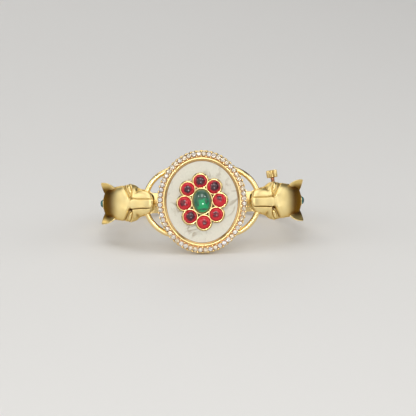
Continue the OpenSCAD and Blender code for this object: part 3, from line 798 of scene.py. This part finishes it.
def face_forms(x, z, outward):
    """Height in mm of the face's forms, how dark it is painted as shade, and how polished it is, by
    front view place.
    """
    side = np.abs(z)
    height = np.zeros_like(x)
    dark = np.zeros_like(x)
    # flat bridge of the nose between two cut grooves: it sits a little low, the lower groove
    # is deeper, and the cuts are painted dark as shade, those of the lower half more, as under a
    # light from above
    bridge_side = np.abs(z + 0.3)
    half = 1.5 + 0.25 * ease(x, 20, 24)
    on_bridge = ease(x, 16.6, 17.2) * (1 - ease(x, 23.4, 24.3))
    groove = swell(bridge_side - half - 0.05, 0.17) * on_bridge
    height += 0.20 * (1 - ease(bridge_side, half - 0.3, half)) * on_bridge
    height -= np.where(z < 0, 0.42, 0.26) * groove
    dark += np.where(z < 0, 0.78, 0.34) * groove
    # lip: a polished roll in front of the nose, with a dark line behind it; the line and the lip's
    # deeper tone are painted shade
    from_lip = x - 0.045 * side ** 2
    behind_lip = swell(from_lip - 16.6, 0.14)
    before_lip = 1 - ease(from_lip, 16.35, 16.65)
    height -= 0.14 * behind_lip
    dark += 0.35 * behind_lip + 0.3 * before_lip
    # deep inner corner of the eye, painted dark as shade, more in the lower half
    corner = swell(np.hypot((x - 23.9) * 0.9, (bridge_side - 2.15) * 0.8), 0.5)
    height -= 0.85 * corner
    dark += np.where(z < 0, 0.9, 0.5) * corner
    # whisker pads, each with a dimple behind it that is painted dark as shade
    height += 0.45 * swell(np.hypot((x - 19.8) * 0.7, side - 3.3), 1.4)
    dimple = swell(np.hypot(x - 21.4 + 0.3 * (side - 4.3), 0.6 * (side - 4.3)), 0.45)
    height -= 0.45 * dimple
    dark += 0.45 * dimple
    # brow crease, from the inner corner outwards and back: steep behind, easy in front; its line is
    # painted dark as shade, more in the lower half
    across, along = past_line(x, side, (24.2, 2.0), (26.0, 6.2))
    on_crease = ease(along, -0.1, 0.15) * (1 - ease(along, 1.2, 1.6))
    height -= 0.75 * on_crease * np.where(across > 0, swell(across, 0.9), swell(across, 0.30))
    height += 0.14 * on_crease * swell(across + 0.8, 0.8)
    dark += np.where(z < 0, 0.8, 0.5) * on_crease * swell(across - 0.05, 0.22)
    # eyeball in its pit, with lids round it; the line round the ball is painted dark as shade, more
    # in the lower half
    eye_across, eye_along = past_line(x, side, (24.15, 2.9), (25.05, 5.5))
    ball = np.hypot((eye_across - 0.62) / 0.6, (eye_along - 0.5) / 0.55)
    height += 0.50 * np.sqrt(np.clip(1 - ball ** 2, 0, 1)) - 0.15 * swell(ball - 1.1, 0.2)
    height += 0.25 * swell(ball - 1.6, 0.3) * ease(across, 0.1, 0.5)
    dark += np.where(z < 0, 0.55, 0.3) * swell(ball - 1.12, 0.16)
    # cheekbone under the eye, brow lobes and the soft furrow between them
    height += 0.35 * swell(np.hypot((x - 23.7) * 0.9, side - 5.6), 1.1)
    height += 0.30 * swell(np.hypot((x - 28.0) * 0.75, side - 4.4), 2.0)
    height -= 0.10 * swell(side, 1.4) * ease(x, 24.6, 26.5) * (1 - ease(x, 28, 31))
    # hollow in front of each ear
    height -= 0.35 * swell(np.hypot(x - 30.3, side - 4.6), 1.0)
    shown = ease(outward, -0.15, 0.45)
    polish = before_lip + 0.9 * (ball < 1)
    return height * shown, dark * shown, np.clip(polish, 0, 1)


def head_skin():
    """The head's outside: rounded box sections, with the face's forms square to them."""
    facing = np.concatenate([
        np.linspace(65.0, 61.5, 34, endpoint=False), np.linspace(61.5, 46, 126, endpoint=False),
        np.linspace(46, 12, 60)])
    turns = np.linspace(0, 2 * math.pi, 208, endpoint=False)
    across, turn = np.meshgrid(facing, turns, indexing="ij")
    half_w, crown, base = (through_rows(facing, column)[:, None] for column in (1, 2, 3))

    def squared(value):
        return np.sign(value) * np.abs(value) ** head_square

    height = (crown + base) / 2 + (crown - base) / 2 * squared(np.sin(turn))
    z = half_w * squared(np.cos(turn))
    x, y = oval_place(across, height)
    skin = np.stack([x, y, z], -1)
    along = np.gradient(skin, axis=0)
    around = np.roll(skin, -1, 1) - np.roll(skin, 1, 1)
    normal = np.cross(along, around)
    normal /= np.linalg.norm(normal, axis=-1, keepdims=True) + 1e-12
    crown_row, crown_column = 90, 52
    if normal[crown_row, crown_column, 1] > 0:
        normal = -normal
    forms, dark, polish = face_forms(x, z, -normal[..., 1])
    # darker towards the neck: painted shade where the surface turns away, with some oxide where the
    # brush doesn't reach; it deepens behind the ears and thins at the neck's end
    neck_shade_and_oxide = (0.95 * ease(x + 0.06 * np.abs(z), 27.8, 31.3)
                 * (0.30 + 0.70 * ease(across, 13.0, 27.0)))
    return part(skin + normal * forms[..., None], np.maximum(dark, neck_shade_and_oxide), polish)


def ear_leaf(side):
    """A wide flap, cupped towards the front, drawn out to a blunt tip behind the head."""
    def at(facing, height, z):
        return np.array([*oval_place(facing, height), z])

    front_edge = [at(41.0, 2.9, 4.6), at(39.5, 4.9, 7.0), at(31.5, 5.3, 6.95)]
    back_edge = [at(17.0, 1.2, 3.2), at(23.0, 2.8, 3.9), at(29.8, 5.0, 6.65)]
    rows, columns = 30, 36
    turns = np.linspace(0, 2 * math.pi, columns, endpoint=False)
    rings, dark = [], []
    for t in np.sin(np.linspace(0, math.pi / 2, rows)):
        front, back = (
            (1 - t) ** 2 * edge[0] + 2 * t * (1 - t) * edge[1] + t ** 2 * edge[2]
            for edge in (front_edge, back_edge))
        wide = (back - front) / 2
        thin = np.cross(wide, front_edge[2] - (front_edge[0] + back_edge[0]) / 2)
        thin /= np.linalg.norm(thin)
        if thin[1] > 0:
            thin = -thin
        half_t = (0.30 + 0.55 * (1 - t)) * math.sqrt(max(0.0, 1 - t ** 8) + 0.05)
        up = half_t * np.sin(turns)
        cup_depth = 0.5 * math.sin(math.pi * min(1, t * 1.05)) * np.sin(turns) ** 2
        up = np.where(np.sin(turns) > 0, up - cup_depth, up)
        rings.append((front + back) / 2 + np.cos(turns)[:, None] * wide + up[:, None] * thin)
        x, _, z = rings[-1].T
        # the ear's base, low and towards the neck, is painted dark as shade
        dark.append(0.9 * (1 - ease(z, 4.4, 6.2)) * ease(x, 29.6, 31.4))
    rings = np.array(rings)
    rings[..., 2] *= side
    return part(rings, np.array(dark))


def box_run(start, end, low, high, half_w):
    """A square bar that follows the hoop, for the channel and the tongues."""
    corners = [(high, half_w), (high, -half_w), (low, -half_w), (low, half_w)]
    rings = []
    for facing in np.linspace(start, end, 24):
        rings.append([[*oval_place(facing, height), z] for height, z in corners])
    return part(rings)


def cut_away(mesh, tools):
    """The mesh with each tool's form cut out of it."""
    for tool in tools:
        block = bpy.data.objects.new("block", mesh)
        cutter = bpy.data.objects.new("cutter", reworked(tool))
        for each in (block, cutter):
            bpy.context.scene.collection.objects.link(each)
        modifier = block.modifiers.new("cut", "BOOLEAN")
        modifier.operation = "DIFFERENCE"
        modifier.solver = "EXACT"
        modifier.object = cutter
        graph = bpy.context.evaluated_depsgraph_get()
        mesh = bpy.data.meshes.new_from_object(block.evaluated_get(graph), depsgraph=graph)
        bpy.data.objects.remove(block)
        bpy.data.objects.remove(cutter)
    return mesh


tongue_facing, tongue_half_w, band_t = 49.0, 2.2, 2.4
neck_facing = head_rows[-1, 0]
mouth_x = loop_x + loop_r + wire_r + 0.1
mouth_half = wire_r + 0.1
screw_x, screw_lean = 24.7, math.radians(8)
screw_r = 0.6
screw_facing = math.acos(screw_x / (flat_r - band_t / 2))
screw_y = flat_c - (flat_r - band_t / 2) * math.sin(screw_facing)
screw_line = Matrix.Translation((screw_x, screw_y, 0)) @ Matrix.Rotation(-screw_lean, 4, "Y")

# Satin gold plate: brushed and matt, so it shows pale, broad and even lights. The real
# brush marks are finer than the render can show and are drawn as a grain of 0.12 mm.
# its dark brown is the colour of the painted shade in the face's cuts, and of painted shade with
# some oxide towards the neck
satin_gold = gold_plate(
    "satin_gold_plate", "#FDE9AC", "#F8DC94", "#5F3A18", (0.34, 0.44), 0.12, 0.0035)


def head_mesh(name, mirrored):
    """One head: its skin with the slots cut into it, and its ears."""
    skin = reworked(form_mesh(name, [head_skin()]))
    # the mouth's slot opens towards the medallion and is rounded where the jaws meet
    slot_turns = np.linspace(0, 2 * math.pi, 40, endpoint=False)
    slot_mouth, slot_end = mouth_x - 12, 10
    slot = [(mouth_x - mouth_half + mouth_half * math.cos(t) if math.cos(t) > 0 else slot_mouth,
             mouth_half * math.sin(t) - wire_level) for t in slot_turns]
    mouth = form_mesh("mouth", [part([
        [[x, y, z] for x, y in slot] for z in (-slot_end, slot_end)])])
    # the channel is longer and wider than the tongue, and runs out of the head's end and base
    channel = form_mesh("channel", [box_run(
        tongue_facing + 0.4, neck_facing - 1, -band_t - 1, -0.2, tongue_half_w + 0.15)])
    tools = [mouth, channel]
    if not mirrored:
        bore_r, bore_h = screw_r + 0.05, 8
        bore = form_mesh("bore", [turned_part([(bore_r, 0), (bore_r, bore_h)], 24)])
        bore.transform(screw_line)
        tools.append(bore)
    head = cut_away(skin, tools)
    head = reworked(head, form_mesh("ears", [ear_leaf(1), ear_leaf(-1)]))
    if mirrored:
        head.transform(Matrix.Scale(-1, 4, (1, 0, 0)))
    return head


for head_name, mirrored in (("left_head", True), ("right_head", False)):
    lay(head_mesh(head_name + "_cast", mirrored), "front", head_name,
        head_name + "_cast", satin_gold, sharp_deg=50)


# Hoop and neck: domed half-round band, drawn, bent to an oval and polished. A tongue at
# its end goes into a head's channel; the left head's tongue is soldered there for good.
band_w, band_dome = 7.2, 1.1
dome_r = (band_w ** 2 / 4 + band_dome ** 2) / (2 * band_dome)
corner_r = 0.25


def rounded_corner(middle_h, middle_z, start_deg):
    """A quarter round of the band's section, as rows of height and place along the axis."""
    return [(middle_h + corner_r * math.cos(math.radians(start_deg - step)),
             middle_z + corner_r * math.sin(math.radians(start_deg - step)))
            for step in range(0, 91, 30)]


edge_in = band_w / 2 - corner_r
band_profile = (
    [(math.sqrt(dome_r ** 2 - z ** 2) - dome_r, z)
     for z in np.linspace(edge_in - 0.1, 0.1 - edge_in, 21)]
    + rounded_corner(-band_dome - corner_r, -edge_in, -10)
    + rounded_corner(-band_t + corner_r, -edge_in, -90)
    + rounded_corner(-band_t + corner_r, edge_in, 180)
    + rounded_corner(-band_dome - corner_r, edge_in, 90)[:3])


def band_run(start, end, profile, recess=0.0):
    """A profile carried along the hoop's outer curve, its ends softened."""
    profile = np.array(profile)
    middle = profile.mean(0)
    facings = np.concatenate([[start, start], np.linspace(start, end, 140)[1:-1], [end, end]])
    end_size, bevel_turn = 0.94, 0.2
    sizes = np.concatenate([[end_size], np.ones(len(facings) - 2), [end_size]])
    facings[1] += np.sign(end - start) * bevel_turn
    facings[-2] -= np.sign(end - start) * bevel_turn
    rings = []
    for facing, size in zip(facings, sizes):
        height, z = (middle + (profile - middle) * size).T
        x, y = oval_place(facing, height)
        rings.append(np.stack([x, y, z], -1))
    return part(rings, recess)


tongue_inset = 0.12
tongue_low, tongue_high = -band_t + 0.15, -0.35
tongue_profile = [
    (tongue_high, tongue_half_w - tongue_inset), (tongue_high, tongue_inset - tongue_half_w),
    (tongue_high - tongue_inset, -tongue_half_w), (tongue_low + tongue_inset, -tongue_half_w),
    (tongue_low, tongue_inset - tongue_half_w), (tongue_low, tongue_half_w - tongue_inset),
    (tongue_low + tongue_inset, tongue_half_w), (tongue_high - tongue_inset, tongue_half_w)]
end_gap_turn = 0.35
tongue_root_turn = 1.05
hinge_facing = -20.0
hinge_r = side_r - 0.2
hinge_x = -side_c - hinge_r * math.cos(math.radians(hinge_facing))
hinge_y = -hinge_r * math.sin(math.radians(hinge_facing))
at_hinge = Matrix.Translation((hinge_x, hinge_y, 0))
barrel_r, pin_r, free = 1.5, 0.6, 0.15
knuckle_h = band_w / 3
side_cup_r, side_stone_r = 1.8, 1.4
side_cup_back, side_cup_h, side_cup_floor = 0.8, 1.35, 0.3
to_side = Matrix.Translation((hoop_half_w, 0, 0)) @ Matrix.Rotation(math.pi / 2, 4, "Y")
to_left = Matrix.Scale(-1, 4, (1, 0, 0))


def moved(form, matrix):
    """The same form, its points carried by a matrix."""
    points = np.c_[form["points"], np.ones(len(form["points"]))] @ np.array(matrix).T
    return {**form, "points": points[:, :3]}


def side_cup():
    """A round cup on the side of the band, its lip rubbed over the stone."""
    profile = [
        (0.3, -side_cup_back), (side_cup_r - 0.1, -side_cup_back), (side_cup_r, -0.6),
        (side_cup_r, side_cup_h - 0.25), (side_cup_r - 0.06, side_cup_h - 0.08),
        (side_cup_r - 0.17, side_cup_h), (side_stone_r + 0.06, side_cup_h - 0.02),
        (side_stone_r - 0.02, side_cup_h - 0.14), (side_stone_r + 0.05, side_cup_h - 0.4),
        (side_stone_r + 0.05, side_cup_floor), (0.3, side_cup_floor)]
    # the cup is painted dark as shade inside, round its seat, and a little low on its outside
    dark = [0.3, 0.3, 0.6, 0.1, 0.0, 0.0, 0.0, 0.2, 0.8, 1.0, 1.0]
    return moved(turned_part(profile, 48, dark), to_side)


def knuckle(low, high):
    """One barrel of the hinge, its ends broken by a small bevel."""
    profile = [(pin_r + 0.05, low), (barrel_r - 0.15, low), (barrel_r, low + 0.15),
               (barrel_r, high - 0.15), (barrel_r - 0.15, high), (pin_r + 0.05, high)]
    # its ends, beside the next knuckle, are painted dark as shade
    return moved(turned_part(profile, 40, [0.8, 0.4, 0.0, 0.0, 0.4, 0.8]), at_hinge)


def knuckle_space(low, high):
    """The room that is filed away round another part's knuckle."""
    space_r = barrel_r + free
    return form_mesh("space", [moved(turned_part([(space_r, low), (space_r, high)], 48), at_hinge)])


# the middle knuckle is the hoop's, and the two outer ones are the neck's
middle_top, outer_bottom = knuckle_h / 2 - free / 2, knuckle_h / 2 + free / 2
hoop_band = reworked(form_mesh("hoop_band", [band_run(
    neck_facing - end_gap_turn, -180 - hinge_facing + end_gap_turn, band_profile)]))
hoop_band = cut_away(hoop_band, [
    knuckle_space(middle_top, band_w), knuckle_space(-band_w, -middle_top)])
# the tongue, which lies in the head's channel, is painted darker as shade
tongue = band_run(tongue_facing, neck_facing - tongue_root_turn, tongue_profile, 0.4)
hoop_band = reworked(hoop_band, form_mesh("hoop_ends", [
    tongue, side_cup(), knuckle(-middle_top, middle_top)]))
lay(hoop_band, "back", "hoop", "hoop_band", polished_gold)

neck_band = reworked(form_mesh("neck_band", [moved(band_run(
    neck_facing - end_gap_turn, hinge_facing + end_gap_turn, band_profile), to_left)]))
neck_band = cut_away(neck_band, [knuckle_space(-outer_bottom, outer_bottom)])
neck_band = reworked(neck_band, form_mesh("neck_ends", [
    moved(tongue, to_left), moved(side_cup(), to_left),
    knuckle(outer_bottom, band_w / 2), knuckle(-band_w / 2, -outer_bottom)]))
lay(neck_band, "front", "left_neck", "neck_band", polished_gold)


# Side stones: small round cabochons of dark teal glass, ground and polished, each rubbed
# into the cup beside a head. The left one goes with the front, the right one with the hoop.
teal_glass = closed_set_stone(
    "dark_teal_glass", "#3F7A78", "#3F7A78", "#24504F", "#12302F", 1.55, 0.08)
side_stone_girdle, side_stone_h = 0.7, 1.9
for stone_name, body, matrix in (
        ("left_side_stone", "front", to_left @ to_side), ("right_side_stone", "back", to_side)):
    bead = turned_part(cabochon(side_stone_r, 0.93, side_stone_girdle, side_stone_h), 48)
    # the middle is painted darker, as shade seen through to the cup's bottom
    bead["recess"] = np.clip(1.1 - np.hypot(bead["points"][:, 0], bead["points"][:, 1]) / 1.6, 0, 1)
    raised = Matrix.Translation((0, 0, side_cup_floor + 0.05))
    lay(form_mesh(stone_name + "_glass", [moved(bead, matrix @ raised)]), body,
        stone_name, stone_name + "_glass", teal_glass)


# Hinge pin: a piece of drawn brass wire through the three knuckles of the hinge, riveted
# over at both ends of the barrel and gold plated with the rest.
pin_profile = [(0.15, -band_w / 2), (0.45, 0.1 - band_w / 2), (pin_r, 0.25 - band_w / 2),
               (pin_r, band_w / 2 - 0.25), (0.45, band_w / 2 - 0.1), (0.15, band_w / 2)]
pin = moved(turned_part(pin_profile, 32), at_hinge)
lay(form_mesh("riveted_pin", [pin]), "front", "hinge_pin", "riveted_pin",
    polished_gold)


# Clasp screw: a straight-knurled knob, rolled between hard wheels and plated, on a thin
# threaded shaft of bare coppery brass. It comes down onto the hoop's tongue.
knob_r, knob_h, knob_z = 1.8, 2.5, 7.8
knurl_count, knurl_depth = 20, 0.2
knob_core = knob_r - knurl_depth
knob_profile = [
    (0.4, 0.0), (knob_core - 0.2, 0.0), (knob_core, 0.16), (knob_core, knob_h - 0.16),
    (knob_core - 0.2, knob_h), (knob_core - 0.55, knob_h), (knob_core - 0.6, knob_h - 0.08),
    (0.4, knob_h - 0.08)]
# painted shade on the core between the ridges and round the top's step
knob_dark = [0.5, 0.4, 0.75, 0.75, 0.0, 0.0, 0.4, 0.2]
ridge_half = math.pi * knob_r / knurl_count * 0.92
crest_half, ridge_foot = ridge_half * 0.25, knurl_depth + 0.05
# height along the knob, and how far the ridge's crest has risen there
ridge_rows = [(0.06, 0.3), (0.2, 1.0), (knob_h - 0.2, 1.0), (knob_h - 0.06, 0.3)]
# each ridge's foot is painted dark as shade
ridge = part(
    [[(-ridge_half, ridge_foot, z), (-crest_half, knurl_depth * (1 - risen), z),
      (crest_half, knurl_depth * (1 - risen), z), (ridge_half, ridge_foot, z)]
     for z, risen in ridge_rows],
    np.array([[0.7, 0.0, 0.0, 0.7]] * len(ridge_rows)))
ridges = grown("knurl", form_mesh("ridge", [ridge]), oval_row, {
    "Half Width": knob_r, "Half Height": knob_r, "Level": 0.0, "Count": knurl_count,
    "Start": 0.0, "Turn Spread": 0.0, "Lean Spread": 0.0, "Seed": 1, "Finish": satin_gold})
knob = reworked(ridges, form_mesh("knob_core", [turned_part(knob_profile, 56, knob_dark)]))
knob.transform(screw_line @ Matrix.Translation((0, 0, knob_z)))
# Gold plate worn by fingers: duller than the rim; the brown between its ridges is painted shade
knurled_gold = gold_plate(
    "knurled_gold_plate", "#F4E0A6", "#E6CC88", "#6A4420", (0.24, 0.34), 0.15, 0.002)
lay(knob, "screw", "clasp_screw", "knurled_knob", knurled_gold)

screw_tip_z = tongue_half_w + 0.25
thread_pitch = 0.35
thread_depth = 0.06
thread_rows = [(0.25, screw_tip_z), (screw_r - 0.1, screw_tip_z + 0.05)]
for turn in np.arange(screw_tip_z + 0.15, knob_z - 0.5, thread_pitch):
    thread_rows += [(screw_r - thread_depth, turn), (screw_r, turn + thread_pitch / 2)]
thread_rows += [(screw_r, knob_z - 0.15), (screw_r + 0.25, knob_z + 0.02), (0.3, knob_z + 0.02)]
# the thread's roots are painted darker as shade than its crests
shaft_dark = [0.3 if radius >= screw_r else 0.7 for radius, _ in thread_rows]
shaft = moved(turned_part(thread_rows, 28, shaft_dark), screw_line)
# Bare brass rich in copper: a dull pinkish brown
coppery_brass = gold_plate(
    "bare_coppery_brass", "#E2A283", "#C98768", "#5B2C1C", (0.25, 0.38), 0.15, 0.001)
lay(form_mesh("threaded_shaft", [shaft]), "screw", "clasp_screw",
    "threaded_shaft", coppery_brass)
